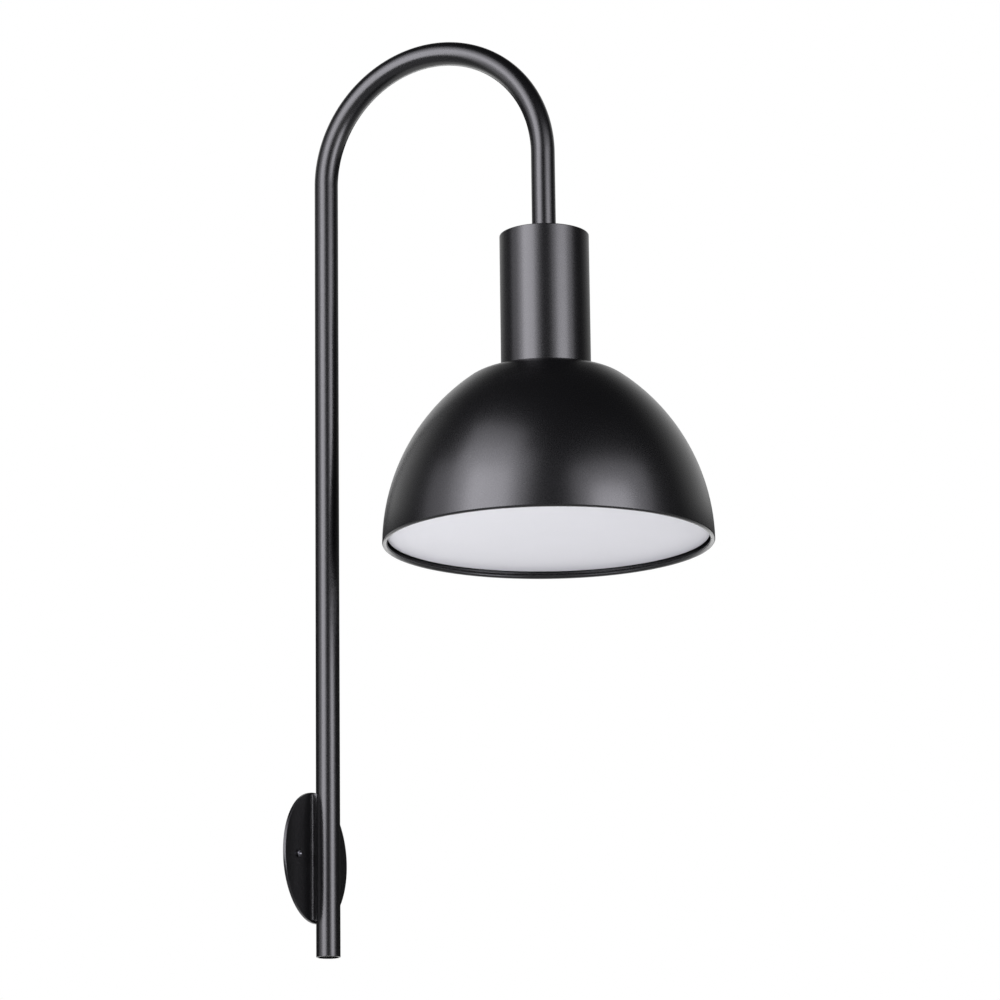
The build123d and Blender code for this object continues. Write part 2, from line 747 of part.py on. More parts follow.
globe_r = globe_d / 2
globe_rise = sqrt(globe_r**2 - mouth_r**2)
inner_globe_r = globe_r - globe_wall
inner_mouth = sqrt(inner_globe_r**2 - globe_rise**2)
with BuildPart() as bulb_globe:
    with BuildSketch(head_section(collar_bottom - globe_rise)):
        with BuildLine():
            CenterArc((0, 0), globe_r, -90, 90 + degrees(atan2(globe_rise, mouth_r)))
            Line((mouth_r, globe_rise), (inner_mouth, globe_rise))
            CenterArc((0, 0), inner_globe_r, -90, 90 + degrees(atan2(globe_rise, inner_mouth)))
            Line((0, -inner_globe_r), (0, -globe_r))
        make_face()
    revolve(axis=shade_axis)
save(bulb_globe, "bulb_globe")

# ==== supply cable and cores ====

# the cable runs up the pole, over the arch and down the leg into the lamp holder's cap
cable_end = insert_top + core_drop
cable_points = ((0, sheath_end, 0), (0, pole_y, 0), (0, pole_y, arch_top), (0, shade_y, arch_top),
                (0, shade_y, cable_end))
with BuildPart() as supply_cable:
    add(swept_wire(cable_points, (cable_bend_r, arch_r, arch_r), cable_d))
save(supply_cable, "supply_cable")

# three cores leave the sheath's end: two to the block, one to the earth lug
block_face = block_x - block_length / 2
way_end = block_face + block_way_depth
lead_in = block_face - core_d
core_x = core_offset * cos(radians(30))
core_z = core_offset * sin(radians(30))
way_z = block_way_pitch / 2
with BuildPart() as lead_live:
    add(swept_wire(((0, sheath_end, core_offset), (0, way_y, core_offset), (lead_in, way_y, way_z),
                    (way_end, way_y, way_z)), (core_bend_r, core_bend_r), core_d))
save(lead_live, "lead_live")

with BuildPart() as lead_neutral:
    add(swept_wire(((core_x, sheath_end, -core_z), (core_x, way_y, -core_z), (lead_in, way_y, -way_z),
                    (way_end, way_y, -way_z)), (core_bend_r, core_bend_r), core_d))
save(lead_neutral, "lead_neutral")

barrel_mouth = -earth_x + barrel_start + earth_barrel_l
earth_crest = sheath_end + 2 * core_d
with BuildPart() as lead_earth:
    add(swept_wire(((-core_x, sheath_end, -core_z), (-core_x, earth_crest, -core_z),
                    (barrel_mouth + 2 * core_d, earth_crest, 0), (barrel_mouth + core_d / 2, barrel_y, 0),
                    (barrel_mouth - earth_barrel_l / 2, barrel_y, 0)), (core_d, core_d, core_d), core_d))
save(lead_earth, "lead_earth")

# two cores leave the cable's other end for the holder's insert
straight_drop = core_drop / 3
lead_x = insert_r / 2
holder_lead = swept_wire(((core_offset, shade_y, cable_end),
                          (core_offset, shade_y, cable_end - straight_drop),
                          (lead_x, shade_y, insert_top + straight_drop), (lead_x, shade_y, insert_top)),
                         (core_d, core_d), core_d)
with BuildPart() as holder_leads:
    add(holder_lead)
    mirror(holder_lead, about=Plane.YZ)
save(holder_leads, "holder_leads")
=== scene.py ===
"""Dresses the arched wall light: satin black powder coat, an opal acrylic disc and plated fixings.

Metres, in the solid model's frame. The wall is the plane Y = 0, +Z is up, and the light reaches out
along -Y.
"""
import bmesh
import bpy
import json
from math import acos, asin, atan2, cos, pi, radians, sin, sqrt
from mathutils import Matrix, Vector


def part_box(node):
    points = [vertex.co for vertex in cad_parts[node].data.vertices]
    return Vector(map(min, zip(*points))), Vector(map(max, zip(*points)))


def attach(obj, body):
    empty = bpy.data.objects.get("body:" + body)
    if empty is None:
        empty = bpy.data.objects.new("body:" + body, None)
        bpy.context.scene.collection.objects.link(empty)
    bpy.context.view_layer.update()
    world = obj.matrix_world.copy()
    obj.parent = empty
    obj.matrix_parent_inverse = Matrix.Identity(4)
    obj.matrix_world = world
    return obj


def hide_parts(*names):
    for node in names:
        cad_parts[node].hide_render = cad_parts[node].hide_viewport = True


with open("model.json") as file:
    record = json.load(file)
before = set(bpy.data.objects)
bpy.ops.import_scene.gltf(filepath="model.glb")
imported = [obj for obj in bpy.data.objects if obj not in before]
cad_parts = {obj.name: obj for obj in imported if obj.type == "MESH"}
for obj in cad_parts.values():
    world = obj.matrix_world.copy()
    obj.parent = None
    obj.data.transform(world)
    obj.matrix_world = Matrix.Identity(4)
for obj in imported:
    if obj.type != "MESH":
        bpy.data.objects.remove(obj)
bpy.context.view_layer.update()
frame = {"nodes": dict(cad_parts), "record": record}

MM = 0.001

# ---- the photograph's viewpoint ----
VIEW_AZIMUTH = -64.73
VIEW_ELEVATION = -13.34
VIEW_ROLL = -0.71
VIEW_DISTANCE = 3.8894
VIEW_AIM = Vector((0.0233, -0.1803, 0.3198))
VIEW_LENS = 153.2
SENSOR_WIDTH = 36.0

# ---- sizes that the frame's boxes don't give ----
TUBE_WALL = 1.5 * MM
TUBE_EDGE = 0.3 * MM
CUP_WALL = 1.5 * MM
CUP_EDGE = 0.8 * MM
CUP_MOUTH_EDGE = 0.3 * MM
SHADE_WALL = 1.2 * MM
SHADE_DROP = 0.9 * MM
SHADE_SHOULDER_R = 42.0 * MM
SHADE_TOP_MARGIN = 7.0 * MM
SHADE_HOLE_R = 23.0 * MM
LIP_R = 2.2 * MM
DISC_EDGE = 0.6 * MM
SCREW_SHANK_R = 2.0 * MM
SCREW_PITCH = 0.7 * MM
SCREW_THREAD_DEPTH = 0.35 * MM
SCREW_HEAD_R = 3.5 * MM
SCREW_HEAD_H = 2.4 * MM
SCREW_CROWN_R = 1.3 * MM
SCREW_SOCKET = 2.5 * MM
SCREW_SOCKET_DEPTH = 1.4 * MM
SCREW_SOCKET_BREAK = 0.1 * MM
SCREW_SOCKET_TAPER = 0.9
SCREW_SOCKET_FLARE = 1.25
SCREW_POINT_TAPER = 0.7

# ---- how finely the turned and bent pieces are drawn ----
ROUND = 192
TUBE_ROUND = 96
ARCH_STEPS = 144
SCREW_ROUND = 48
THREAD_STEPS = 8
ARC_STEP = radians(2.0)
EDGE_STEP = radians(15.0)
POLE_STEPS = 6
MERGE_DISTANCE = 1e-7

# ---- the values between which a noise texture mostly lies ----
NOISE_LOW = 0.3
NOISE_HIGH = 0.7

# ---- places, read from the frame ----
tube_low, tube_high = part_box("arm_tube")
cup_low, cup_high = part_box("cup")
shade_low, shade_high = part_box("shade")
disc_low, disc_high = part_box("diffuser")
plate_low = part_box("wall_plate")[0]
tube_r = (tube_high.x - tube_low.x) / 2
bore_r = tube_r - TUBE_WALL
pole_y = tube_high.y - tube_r
head_y = tube_low.y + tube_r
arch_r = (pole_y - head_y) / 2
arch_base = tube_high.z - tube_r - arch_r
cup_r = (cup_high.x - cup_low.x) / 2
rim_z = shade_low.z
shade_h = shade_high.z - rim_z


# ======== mesh making ========

def skin(name, rings, closed):
    """Join equal rings of points into one surface; closed also joins the last ring to the first."""
    mesh = bmesh.new()
    rows = [[mesh.verts.new(point) for point in ring] for ring in rings]
    pairs = list(zip(rows, rows[1:]))
    if closed:
        pairs.append((rows[-1], rows[0]))
    for low, high in pairs:
        for k in range(len(low)):
            after = (k + 1) % len(low)
            mesh.faces.new((low[k], low[after], high[after], high[k]))
    bmesh.ops.remove_doubles(mesh, verts=mesh.verts, dist=MERGE_DISTANCE)
    bmesh.ops.recalc_face_normals(mesh, faces=mesh.faces)
    return finish_mesh(name, mesh)


def finish_mesh(name, mesh):
    """Turn mesh data into a smooth object whose flat faces stay flat beside their small rounded edges."""
    data = bpy.data.meshes.new(name)
    mesh.to_mesh(data)
    mesh.free()
    data.polygons.foreach_set("use_smooth", [True] * len(data.polygons))
    piece = bpy.data.objects.new(name, data)
    bpy.context.scene.collection.objects.link(piece)
    weighted = piece.modifiers.new("flat_faces", "WEIGHTED_NORMAL")
    weighted.keep_sharp = True
    return piece


def arc(centre, radius, start, end, step=EDGE_STEP):
    """Points along an arc in an outline's plane, between two angles in degrees, both ends included."""
    start, end = radians(start), radians(end)
    count = max(2, round(abs(end - start) / step))
    angles = [start + (end - start) * k / count for k in range(count + 1)]
    return [(centre[0] + radius * cos(a), centre[1] + radius * sin(a)) for a in angles]


def turned(name, outline, count=ROUND):
    """Turn an outline of (radius, height) points about the shade's upright axis."""
    turns = [2 * pi * k / count for k in range(count)]
    rings = [[(r * cos(a), head_y + r * sin(a), z) for a in turns] for r, z in outline]
    return skin(name, rings, closed=True)


def give(piece, body, slot, finish, *replaced):
    """Set a new piece's finish, hang it on the body it rides on, and hide the solids it stands in for."""
    piece.data.materials.append(finish)
    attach(piece, body)
    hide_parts(*replaced)


# ======== finishes ========

def srgb(code, alpha=1.0):
    """An sRGB hex colour as linear values."""
    parts = [int(code[k:k + 2], 16) / 255 for k in (1, 3, 5)]
    linear = [c / 12.92 if c <= 0.04045 else ((c + 0.055) / 1.055) ** 2.4 for c in parts]
    return (*linear, alpha)


def per_mm(size):
    """Texture scale at which one feature is this many millimetres across."""
    return 1 / (size * MM)


def add_node(tree, kind, inputs=(), **settings):
    """Add a node: settings are its own options, and inputs hold values or the sockets that feed it."""
    made = tree.nodes.new(kind)
    for option, value in settings.items():
        setattr(made, option, value)
    for socket, value in dict(inputs).items():
        if isinstance(value, bpy.types.NodeSocket):
            tree.links.new(value, made.inputs[socket])
        else:
            made.inputs[socket].default_value = value
    return made


def finish(name, tones, mottle, gloss, relief, along=(1, 1, 1), stripes=None, **shader):
    """A material: tones that drift over mottle millimetres, a gloss between two roughnesses, and a relief.

    The relief is layers of (feature size, depth) in millimetres, the coarsest first; along stretches it.
    """
    made = bpy.data.materials.new(name)
    made.use_nodes = True
    tree = made.node_tree
    tree.nodes.clear()
    place = add_node(tree, "ShaderNodeTexCoord").outputs["Object"]
    drawn = add_node(tree, "ShaderNodeMapping", {"Vector": place, "Scale": along}).outputs["Vector"]
    cloud = {"Vector": place, "Scale": per_mm(mottle), "Detail": 3.0}
    drift = add_node(tree, "ShaderNodeTexNoise", cloud).outputs["Fac"]
    if stripes:
        bands = {"Vector": place, "Scale": per_mm(stripes), "Distortion": 0.0}
        waves = add_node(tree, "ShaderNodeTexWave", bands, bands_direction="Z", wave_profile="SIN")
        drift = waves.outputs["Fac"]
    blend = {0: drift, 6: srgb(tones[0]), 7: srgb(tones[1])}
    tone = add_node(tree, "ShaderNodeMix", blend, data_type="RGBA").outputs[2]
    normal = None
    for size, depth in relief:
        lumps = {"Vector": drawn, "Scale": per_mm(size), "Detail": 2.0, "Roughness": 0.55}
        height = add_node(tree, "ShaderNodeTexNoise", lumps).outputs["Fac"]
        raised = {"Height": height, "Distance": depth * MM, "Strength": 1.0}
        if normal:
            raised["Normal"] = normal
        normal = add_node(tree, "ShaderNodeBump", raised).outputs["Normal"]
    spread = {"Value": height, "From Min": NOISE_LOW, "From Max": NOISE_HIGH,
              "To Min": gloss[0], "To Max": gloss[1]}
    rough = add_node(tree, "ShaderNodeMapRange", spread).outputs["Result"]
    inputs = {"Base Color": tone, "Roughness": rough, "Normal": normal, **shader}
    surface = add_node(tree, "ShaderNodeBsdfPrincipled", inputs).outputs["BSDF"]
    add_node(tree, "ShaderNodeOutputMaterial", {"Surface": surface})
    return made


def satin_powder_coat():
    """Polyester powder coat, sprayed and baked: deep satin black, which melts highlights to soft bands."""
    # the real orange peel is 2 to 3 mm across and about 0.01 mm deep
    # the real grit is about 0.1 mm across, drawn at 0.6 mm so that it shows at all
    return finish("satin_powder_coat", ("#050506", "#080809"), 60.0, (0.25, 0.31),
                  [(2.6, 0.006), (0.6, 0.001)], IOR=1.6)


def black_oxide_steel():
    """Hardened steel screws, blackened in a hot bath: dark and close-grained, with an oily glint."""
    # the real grain is about 0.05 mm, drawn at 0.3 mm
    return finish("black_oxide_steel", ("#5a5a5e", "#707074"), 2.0, (0.24, 0.36),
                  [(0.3, 0.004)], Metallic=1.0)


def opal_acrylic():
    """Opal acrylic sheet, cast and satin on both faces: milky white, with a very soft gloss."""
    # the satin is about 0.1 mm across, drawn at 0.6 mm
    return finish("opal_acrylic", ("#dadbdd", "#dedee1"), 45.0, (0.42, 0.5), [(0.6, 0.001)], IOR=1.49)


def moulded(name, tones, gloss, ior):
    """Injection-moulded plastic: a slight flow in the colour, and the tool's spark-eroded grain."""
    # the real grain is 0.1 to 0.2 mm, drawn at 0.4 mm
    return finish(name, tones, 9.0, gloss, [(3.0, 0.01), (0.4, 0.004)], IOR=ior)


def plated(name, tones, gloss):
    """Plated or drawn metal: cloudy from the bath, with lines from the rolling or the tool."""
    # the lines are about 0.1 mm apart, drawn at 0.4 mm and stretched twelve times along X
    return finish(name, tones, 6.0, gloss, [(2.0, 0.004), (0.4, 0.003)], along=(1 / 12, 1, 1), Metallic=1.0)


def extruded(name, tones, gloss, stripes=None):
    """Extruded PVC: even in colour, with the faint ripple that the die leaves."""
    # the ripple is about 1 mm long; the earth core's stripes are 1.2 mm apart
    return finish(name, tones, 12.0, gloss, [(1.0, 0.01), (0.4, 0.003)], stripes=stripes, IOR=1.53)


coat = satin_powder_coat()
screw_black = black_oxide_steel()
opal = opal_acrylic()
FINISHES = {
    "black_coat": coat,
    "black_screw": screw_black,
    "opal_acrylic": opal,
    # polycarbonate ring and lamp collar: clean white, a little glossy
    "white_plastic": moulded("white_polycarbonate", ("#e4e3df", "#ebeae6"), (0.35, 0.45), 1.58),
    "lamp_collar": moulded("collar_polycarbonate", ("#e8e8e6", "#efefed"), (0.28, 0.36), 1.58),
    # steel, zinc plated and passivated: bluish and cloudy
    "zinc_steel": plated("zinc_plated_steel", ("#aeb1b5", "#c6c8ca"), (0.24, 0.4)),
    # brass, turned and left plain: warm, with fine tool lines
    "brass_parts": plated("turned_brass", ("#b9975a", "#d0ae6c"), (0.2, 0.34)),
    # copper lug, stamped and tinned: soft grey
    "tinned_copper": plated("tinned_copper", ("#b3aca0", "#c9c3b8"), (0.28, 0.42)),
    # aluminium lamp cap, rolled and given a nickel flash: pale and fairly bright
    "lamp_cap_metal": plated("nickel_flashed_aluminium", ("#bdbcb8", "#d2d1cd"), (0.18, 0.3)),
    # polyethylene plug: black and waxy
    "black_plastic": moulded("black_polyethylene", ("#121213", "#18181a"), (0.4, 0.52), 1.51),
    # phenolic lamp holder, pressed: hard, black and glossy
    "holder_plastic": moulded("pressed_phenolic", ("#121113", "#181719"), (0.16, 0.26), 1.6),
    # porcelain insert: glossy white glaze over a slightly wavy body
    "white_ceramic": moulded("glazed_porcelain", ("#e9e7e0", "#f0eee8"), (0.1, 0.2), 1.52),
    # nylon terminal block: its natural milky colour
    "block_plastic": moulded("natural_nylon", ("#dcd9cc", "#e6e3d8"), (0.35, 0.48), 1.53),
    # rubber bush: matt black
    "grommet_rubber": moulded("moulded_rubber", ("#171717", "#1f1f1f"), (0.62, 0.75), 1.52),
    # frosted lamp globe: white, and softer than the collar
    "lamp_globe": moulded("frosted_globe", ("#f0f0ee", "#f5f5f3"), (0.5, 0.6), 1.58),
    "cable_sheath": extruded("sheath_pvc", ("#1d1d1e", "#252526"), (0.42, 0.55)),
    "core_brown": extruded("brown_core_pvc", ("#5a3418", "#6a3f20"), (0.3, 0.4)),
    "core_blue": extruded("blue_core_pvc", ("#1f4f9c", "#2a5dae"), (0.3, 0.4)),
    "core_green": extruded("earth_core_pvc", ("#2f8f3a", "#d9c820"), (0.3, 0.4), stripes=1.2),
}
slot_of = {part["node"]: part["material_slot"] for part in frame["record"]["subparts"]}
for node_name, solid in frame["nodes"].items():
    for material_slot in solid.material_slots:
        material_slot.material = FINISHES[slot_of[node_name]]


# ======== tube ========

pole_l = arch_base - tube_low.z
tube_l = pole_l + pi * arch_r + arch_base - cup_high.z


def bend_ring(radius, along):
    """A ring of points round the tube's centre line, at a distance along it from the pole's foot."""
    turn = min(max((along - pole_l) / arch_r, 0.0), pi)
    rise = min(along, pole_l) + tube_low.z
    fall = max(along - pole_l - pi * arch_r, 0.0)
    centre = Vector((0, pole_y - arch_r + arch_r * cos(turn), rise + arch_r * sin(turn) - fall))
    outward = Vector((0, cos(turn), sin(turn)))
    angles = [2 * pi * k / TUBE_ROUND for k in range(TUBE_ROUND)]
    return [centre + radius * (Vector((cos(a), 0, 0)) + sin(a) * outward) for a in angles]


straight = [pole_l * k / POLE_STEPS for k in range(1, POLE_STEPS)]
bend = [pole_l + pi * arch_r * k / ARCH_STEPS for k in range(ARCH_STEPS + 1)]
foot_edge = arc((tube_r - TUBE_EDGE, TUBE_EDGE), TUBE_EDGE, -90, 0)
mouth_edge = arc((bore_r + TUBE_EDGE, TUBE_EDGE), TUBE_EDGE, 180, 270)
outside = foot_edge + [(tube_r, along) for along in straight + bend] + [(tube_r, tube_l)]
inside = [(bore_r, tube_l)] + [(bore_r, along) for along in reversed(straight + bend)]
tube = skin("bent_tube", [bend_ring(r, along) for r, along in outside + inside + mouth_edge], closed=True)
give(tube, "lamp", "black_coat", coat, "arm_tube")

# ======== welds down the saddle ========

BEAD_R = 1.5 * MM
BEAD_RIPPLE = 0.06 * MM
BEAD_RIPPLE_L = 1.4 * MM
BEAD_WANDER = 0.16 * MM
BEAD_WANDER_L = 23.0 * MM
BEAD_END_GAP = 0.6 * MM
BEAD_STEPS = 640
BEAD_SIDES = 9
SEAT = 0.05 * MM

saddle_low, saddle_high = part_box("tube_saddle")


def bead_ring(side, z):
    """A ring round the weld between saddle and plate: a quarter circle, with the corner behind it."""
    ripple = BEAD_RIPPLE * sin(2 * pi * z / BEAD_RIPPLE_L)
    wander = BEAD_WANDER * sin(2 * pi * z / BEAD_WANDER_L + side)
    radius = BEAD_R + ripple + wander
    corner = (side * (saddle_high.x - SEAT), saddle_high.y + SEAT)
    turns = [pi / 2 * k / (BEAD_SIDES - 1) for k in range(BEAD_SIDES)]
    front = [(corner[0] + side * radius * cos(a), corner[1] - radius * sin(a), z) for a in turns]
    return [(*corner, z)] + front


for side, side_name in ((-1, "left"), (1, "right")):
    foot, head = saddle_low.z + BEAD_END_GAP, saddle_high.z - BEAD_END_GAP
    stations = [foot + (head - foot) * k / BEAD_STEPS for k in range(BEAD_STEPS + 1)]
    bead = skin(f"saddle_weld_{side_name}", [bead_ring(side, z) for z in stations], closed=False)
    give(bead, "lamp", "black_coat", coat)

# ======== cup ========

bush_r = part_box("top_rod")[1].x
cup_outline = (
    arc((cup_r - CUP_EDGE, cup_high.z - CUP_EDGE), CUP_EDGE, 90, 0)
    + arc((cup_r - CUP_MOUTH_EDGE, cup_low.z + CUP_MOUTH_EDGE), CUP_MOUTH_EDGE, 0, -90)
    + [(cup_r - CUP_WALL, cup_low.z), (cup_r - CUP_WALL, cup_high.z - CUP_WALL)]
    + [(bush_r, cup_high.z - CUP_WALL), (bush_r, cup_high.z)]
)
cup = turned("cup_body", cup_outline)
give(cup, "lamp", "black_coat", coat, "cup")

# ======== shade ========

shoulder = (cup_r + SHADE_TOP_MARGIN, shade_h - SHADE_SHOULDER_R)
lip_x = shade_high.x - LIP_R
shoulder_rise = shoulder[1] + SHADE_DROP
flare = shade_high.x - shoulder[0] - SHADE_SHOULDER_R
body_r = SHADE_SHOULDER_R + (flare**2 + shoulder_rise**2) / (2 * flare)
body = (shade_high.x - body_r, -SHADE_DROP)
blend = atan2(shoulder_rise, shoulder[0] - body[0]) * 180 / pi
lip_start = atan2(LIP_R + SHADE_DROP, sqrt(body_r**2 - (LIP_R + SHADE_DROP) ** 2)) * 180 / pi
lip_meets = acos((LIP_R - SHADE_WALL) / LIP_R) * 180 / pi
lip_back_z = LIP_R * (1 + sin(radians(-360 + lip_meets)))
inner_start = asin((lip_back_z + SHADE_DROP) / (body_r - SHADE_WALL)) * 180 / pi
shade_outline = (
    [(SHADE_HOLE_R, shade_h)]
    + arc(shoulder, SHADE_SHOULDER_R, 90, blend, ARC_STEP)
    + arc(body, body_r, blend, lip_start, ARC_STEP)[1:]
    + arc((lip_x, LIP_R), LIP_R, 0, -360 + lip_meets)[1:]
    + arc(body, body_r - SHADE_WALL, inner_start, blend, ARC_STEP)
    + arc(shoulder, SHADE_SHOULDER_R - SHADE_WALL, blend, 90, ARC_STEP)[1:]
    + [(SHADE_HOLE_R, shade_h - SHADE_WALL)]
)
shade = turned("shade_shell", [(r, rim_z + z) for r, z in shade_outline])
give(shade, "lamp", "black_coat", coat, "shade")

# ======== opal disc ========

disc_r = disc_high.x
disc_outline = (
    [(r, disc_high.z) for r in (0, disc_r / 2, disc_r - DISC_EDGE, disc_r)]
    + arc((disc_r - DISC_EDGE, disc_low.z + DISC_EDGE), DISC_EDGE, 0, -90)
    + [(r, disc_low.z) for r in (disc_r / 2, 0)]
)
disc = turned("opal_disc", disc_outline)
give(disc, "disc", "opal_acrylic", opal, "diffuser")


# ======== plate screws ========

def six_sided(across):
    """Radius of a hexagon at an angle, from its width across the flats."""
    return lambda a: across / 2 / cos((a + pi / 6) % (pi / 3) - pi / 6)


def threaded(depth_from):
    """Radius of a screw thread at an angle, for a ring at this distance along the shank."""
    def radius(a):
        climb = (depth_from / SCREW_PITCH - a / (2 * pi)) % 1
        return SCREW_SHANK_R - SCREW_THREAD_DEPTH * abs(2 * climb - 1)
    return radius


def screw_rings(x, bearing_y, tail_y):
    """Rings of a button-head screw with a six-sided socket, its head towards the room."""
    crown_y = bearing_y - SCREW_HEAD_H
    floor_y = crown_y + SCREW_SOCKET_DEPTH
    crown = arc((SCREW_HEAD_R - SCREW_CROWN_R, 0), SCREW_CROWN_R, 90, 0)
    rim_in = SCREW_SOCKET / 2 * SCREW_SOCKET_FLARE
    steps = int((tail_y - bearing_y) / SCREW_PITCH * THREAD_STEPS)
    socket_mouth = crown_y + SCREW_SOCKET_BREAK
    stations = [(0, floor_y), (six_sided(SCREW_SOCKET * SCREW_SOCKET_TAPER), floor_y)]
    stations += [(six_sided(SCREW_SOCKET), socket_mouth), (rim_in, crown_y)]
    stations += [(r, crown_y + SCREW_CROWN_R - drop) for r, drop in crown]
    stations += [(SCREW_HEAD_R, bearing_y), (SCREW_SHANK_R, bearing_y)]
    stations += [(threaded(k * SCREW_PITCH / THREAD_STEPS), bearing_y + k * SCREW_PITCH / THREAD_STEPS)
                 for k in range(2, steps - 2)]
    stations += [(SCREW_SHANK_R * SCREW_POINT_TAPER, tail_y), (0, tail_y)]
    angles = [2 * pi * k / SCREW_ROUND for k in range(SCREW_ROUND)]
    rings = []
    for radius, y in stations:
        radii = [radius(a) if callable(radius) else radius for a in angles]
        rings.append([(x + r * cos(a), y, r * sin(a)) for r, a in zip(radii, angles)])
    return rings


screws_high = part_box("plate_screws")[1]
screw_x = screws_high.x - SCREW_HEAD_R
for side, place_x in (("left", -screw_x), ("right", screw_x)):
    piece = skin(f"plate_screw_{side}", screw_rings(place_x, plate_low.y, screws_high.y), closed=False)
    give(piece, "lamp", "black_screw", screw_black, "plate_screws")


# ======== studio ========

def aim_direction(azimuth, elevation):
    """Unit vector from the light towards a viewer or lamp; azimuth 0 is straight out of the wall."""
    a, e = radians(azimuth), radians(elevation)
    return Vector((sin(a) * cos(e), -cos(a) * cos(e), sin(e)))


def face(back, roll=0.0):
    """Rotation of a camera or lamp whose back points this way, rolled about its line of sight."""
    right = Vector((0, 0, 1)).cross(back).normalized()
    up = back.cross(right)
    turn = radians(roll)
    rolled_right = cos(turn) * right + sin(turn) * up
    rolled_up = cos(turn) * up - sin(turn) * right
    return Matrix((rolled_right, rolled_up, back)).transposed().to_euler()


view_back = aim_direction(VIEW_AZIMUTH, VIEW_ELEVATION)
camera_data = bpy.data.cameras.new("camera")
camera_data.lens = VIEW_LENS
camera_data.sensor_width = SENSOR_WIDTH
camera = bpy.data.objects.new("camera", camera_data)
camera.location = VIEW_AIM + VIEW_DISTANCE * view_back
camera.rotation_euler = face(view_back, VIEW_ROLL)
bpy.context.scene.collection.objects.link(camera)
bpy.context.scene.camera = camera

LAMP_TINT = (0.985, 0.965, 1.045)
HEAD_CENTRE = Vector((0, -0.17, 0.4))


def soft_box(name, azimuth, elevation, width, height, radiance, distance=2.4, tint_colour=LAMP_TINT):
    """A rectangular studio lamp at an azimuth from the photograph's camera, facing the wall light."""
    data = bpy.data.lights.new(name, "AREA")
    data.shape = "RECTANGLE"
    data.size, data.size_y = width, height
    data.energy = radiance * pi * width * height
    data.color = tint_colour
    lamp = bpy.data.objects.new(name, data)
    back = aim_direction(VIEW_AZIMUTH + azimuth, elevation)
    lamp.location = HEAD_CENTRE + distance * back
    lamp.rotation_euler = face(back)
    lamp.visible_camera = False
    bpy.context.scene.collection.objects.link(lamp)
    return lamp


# azimuth and elevation in degrees, width and height in metres, radiance, and distance
# each side has a bright panel inside a dimmer and larger one, so that its edges are soft
soft_box("left_panel", -41, 11, 1.4, 2.1, 4.2)
soft_box("left_top_panel", -47, 47, 1.6, 0.9, 1.8)
soft_box("left_side_panel", -70, 11, 2.0, 2.2, 1.0)
soft_box("left_scrim", -42, 18, 2.6, 2.6, 1.75, 2.5)
soft_box("right_panel", 44, 0, 1.2, 1.9, 4.4)
soft_box("right_scrim", 46, 8, 2.6, 2.5, 1.7, 2.5)
# light thrown up from the floor on the left, which the coat doesn't mirror
bounce = soft_box("floor_bounce", -45, -35, 0.7, 0.8, 2.1, 0.7, (1.0, 1.0, 1.0))
bounce.visible_glossy = False

# the floor is pale, and fades into the background far out; its gleam is brighter behind the light
FLOOR_DROP = 1.25
FLOOR_R = 7.0
FLOOR_ROUND = 96
FLOOR_FADE_R = 3.0
FLOOR_PALE_SHARE = 0.65
FLOOR_GLEAM_FRONT = 0.2
FLOOR_GLEAM_BACK = 1.3
FLOOR_GLEAM_TURN = (0.1, 0.85)
FLOOR_FADE_END = 0.97


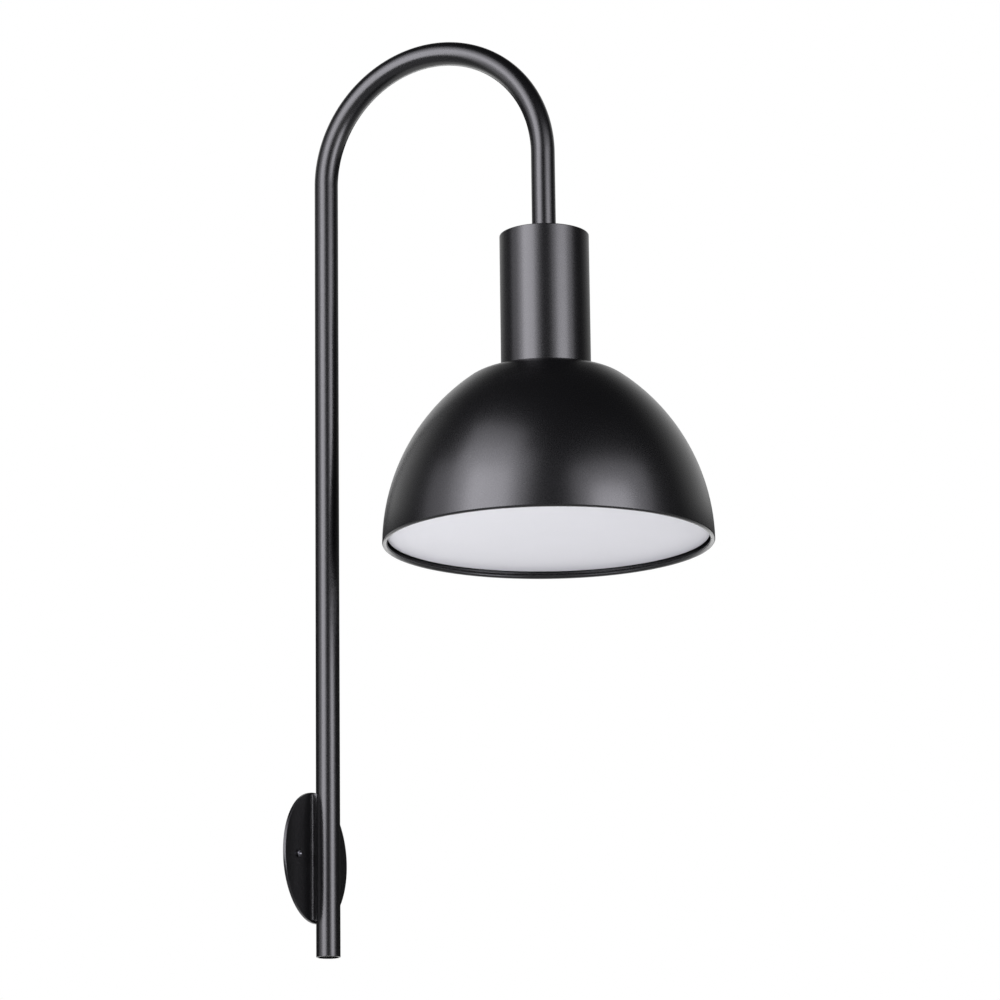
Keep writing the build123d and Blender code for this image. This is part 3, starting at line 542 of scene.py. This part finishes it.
def pale_floor():
    """Painted studio floor: matt and pale, with a faint roller texture; clear from below and far out."""
    # the roller's dimples are about 6 mm apart
    made = finish("painted_floor", ("#cecfd0", "#d3d3d5"), 200.0, (0.7, 0.8), [(6.0, 0.02)], IOR=1.5)
    tree = made.node_tree
    paint = tree.nodes["Principled BSDF"].outputs["BSDF"]
    place = tree.nodes["Texture Coordinate"].outputs["Object"]
    # how far round behind the light a point of the floor lies, as seen from the photograph's camera
    outward = add_node(tree, "ShaderNodeVectorMath", {0: place}, operation="NORMALIZE").outputs["Vector"]
    behind = {0: outward, 1: -aim_direction(VIEW_AZIMUTH, 0)}
    round_back = add_node(tree, "ShaderNodeVectorMath", behind, operation="DOT_PRODUCT").outputs["Value"]
    inputs = {"Value": round_back, "From Min": FLOOR_GLEAM_TURN[0], "From Max": FLOOR_GLEAM_TURN[1],
              "To Min": FLOOR_GLEAM_FRONT, "To Max": FLOOR_GLEAM_BACK}
    gleam = add_node(tree, "ShaderNodeMapRange", inputs).outputs["Result"]
    ray = add_node(tree, "ShaderNodeLightPath").outputs
    strength = add_node(tree, "ShaderNodeMix", {0: ray["Is Glossy Ray"], 2: 1.0, 3: gleam}).outputs[0]
    glow = add_node(tree, "ShaderNodeEmission", {"Strength": strength}).outputs["Emission"]
    seen = ray["Is Camera Ray"]
    for other in (ray["Is Glossy Ray"], ray["Is Transmission Ray"]):
        seen = add_node(tree, "ShaderNodeMath", {0: seen, 1: other}, operation="MAXIMUM").outputs[0]
    inputs = {0: seen, 1: FLOOR_PALE_SHARE}
    share = add_node(tree, "ShaderNodeMath", inputs, operation="MULTIPLY").outputs[0]
    pale = add_node(tree, "ShaderNodeMixShader", {0: share, 1: paint, 2: glow}).outputs["Shader"]
    # see-through far out, and from below
    reach = add_node(tree, "ShaderNodeVectorMath", {0: place}, operation="LENGTH").outputs["Value"]
    inputs = {"Value": reach, "From Min": FLOOR_FADE_R, "From Max": FLOOR_R * FLOOR_FADE_END}
    fade = add_node(tree, "ShaderNodeMapRange", inputs, interpolation_type="SMOOTHSTEP").outputs["Result"]
    under = add_node(tree, "ShaderNodeNewGeometry").outputs["Backfacing"]
    hidden = add_node(tree, "ShaderNodeMath", {0: fade, 1: under}, operation="MAXIMUM").outputs[0]
    clear = add_node(tree, "ShaderNodeBsdfTransparent").outputs["BSDF"]
    faded = add_node(tree, "ShaderNodeMixShader", {0: hidden, 1: pale, 2: clear}).outputs["Shader"]
    tree.links.new(faded, tree.nodes["Material Output"].inputs["Surface"])
    return made


floor_turns = [2 * pi * k / FLOOR_ROUND for k in range(FLOOR_ROUND)]
floor_rings = [[(r * cos(a), r * sin(a), 0) for a in floor_turns] for r in (0, FLOOR_R / 4, FLOOR_R)]
floor = skin("floor", floor_rings, closed=False)
# its upper side has to be its front, since it is clear from behind
if floor.data.polygons[0].normal.z < 0:
    floor.data.flip_normals()
floor.location.z = -FLOOR_DROP
floor.data.materials.append(pale_floor())

# the backdrop hangs behind the light, as seen from the photograph's camera, clear of the floor
BACKDROP_SIDES = (cos(radians(77)), cos(radians(16)))
BACKDROP_FOOT = (sin(radians(12)), sin(radians(19)))
BACKDROP_HEAD = (sin(radians(64)), sin(radians(27)))
BACKDROP_LEVEL = 0.95
FLOOR_FRONT_LEVEL = 0.5
FLOOR_BACK_LEVEL = 2.3
FLOOR_LEVEL_TURN = (0.5, 0.9)
FLOOR_LEVEL_DROP = (-0.02, -0.1)
STUDIO_DARK = 0.02
SOFT_FILL = 0.13


def studio_world():
    """White to the camera everywhere; glossy rays see the backdrop where it hangs, and the floor below."""
    world = bpy.data.worlds.new("studio")
    world.use_nodes = True
    tree = world.node_tree
    tree.nodes.clear()
    outward = add_node(tree, "ShaderNodeTexCoord").outputs["Generated"]
    behind = -aim_direction(VIEW_AZIMUTH, 0)
    sight = {0: outward, 1: behind}
    toward = add_node(tree, "ShaderNodeVectorMath", sight, operation="DOT_PRODUCT").outputs["Value"]
    height = add_node(tree, "ShaderNodeSeparateXYZ", {0: outward}).outputs["Z"]
    inputs = {"Value": toward, "From Min": BACKDROP_SIDES[0], "From Max": BACKDROP_SIDES[1],
              "To Max": BACKDROP_LEVEL}
    lit = add_node(tree, "ShaderNodeMapRange", inputs).outputs["Result"]
    for outer, inner in (BACKDROP_FOOT, BACKDROP_HEAD):
        inputs = {"Value": height, "From Min": outer, "From Max": inner}
        reach = add_node(tree, "ShaderNodeMapRange", inputs, interpolation_type="SMOOTHSTEP").outputs[0]
        lit = add_node(tree, "ShaderNodeMath", {0: lit, 1: reach}, operation="MULTIPLY").outputs[0]
    inputs = {"Value": toward, "From Min": FLOOR_LEVEL_TURN[0], "From Max": FLOOR_LEVEL_TURN[1],
              "To Min": FLOOR_FRONT_LEVEL, "To Max": FLOOR_BACK_LEVEL}
    level = add_node(tree, "ShaderNodeMapRange", inputs).outputs["Result"]
    inputs = {"Value": height, "From Min": FLOOR_LEVEL_DROP[0], "From Max": FLOOR_LEVEL_DROP[1],
              "To Max": level}
    below = add_node(tree, "ShaderNodeMapRange", inputs, interpolation_type="SMOOTHSTEP").outputs["Result"]
    for other in (below, STUDIO_DARK):
        lit = add_node(tree, "ShaderNodeMath", {0: lit, 1: other}, operation="MAXIMUM").outputs[0]
    ray = add_node(tree, "ShaderNodeLightPath").outputs
    fill = add_node(tree, "ShaderNodeMix", {0: ray["Is Diffuse Ray"], 2: lit, 3: SOFT_FILL}).outputs[0]
    clear = add_node(tree, "ShaderNodeMath", {0: ray["Is Camera Ray"], 1: ray["Is Transmission Ray"]},
                     operation="MAXIMUM").outputs[0]
    strength = add_node(tree, "ShaderNodeMix", {0: clear, 2: fill, 3: 1.0}).outputs[0]
    inputs = {"Color": srgb("#ffffff"), "Strength": strength}
    studio = add_node(tree, "ShaderNodeBackground", inputs).outputs["Background"]
    add_node(tree, "ShaderNodeOutputWorld", {"Surface": studio})
    bpy.context.scene.world = world


studio_world()
bpy.context.scene.view_settings.view_transform = "Standard"
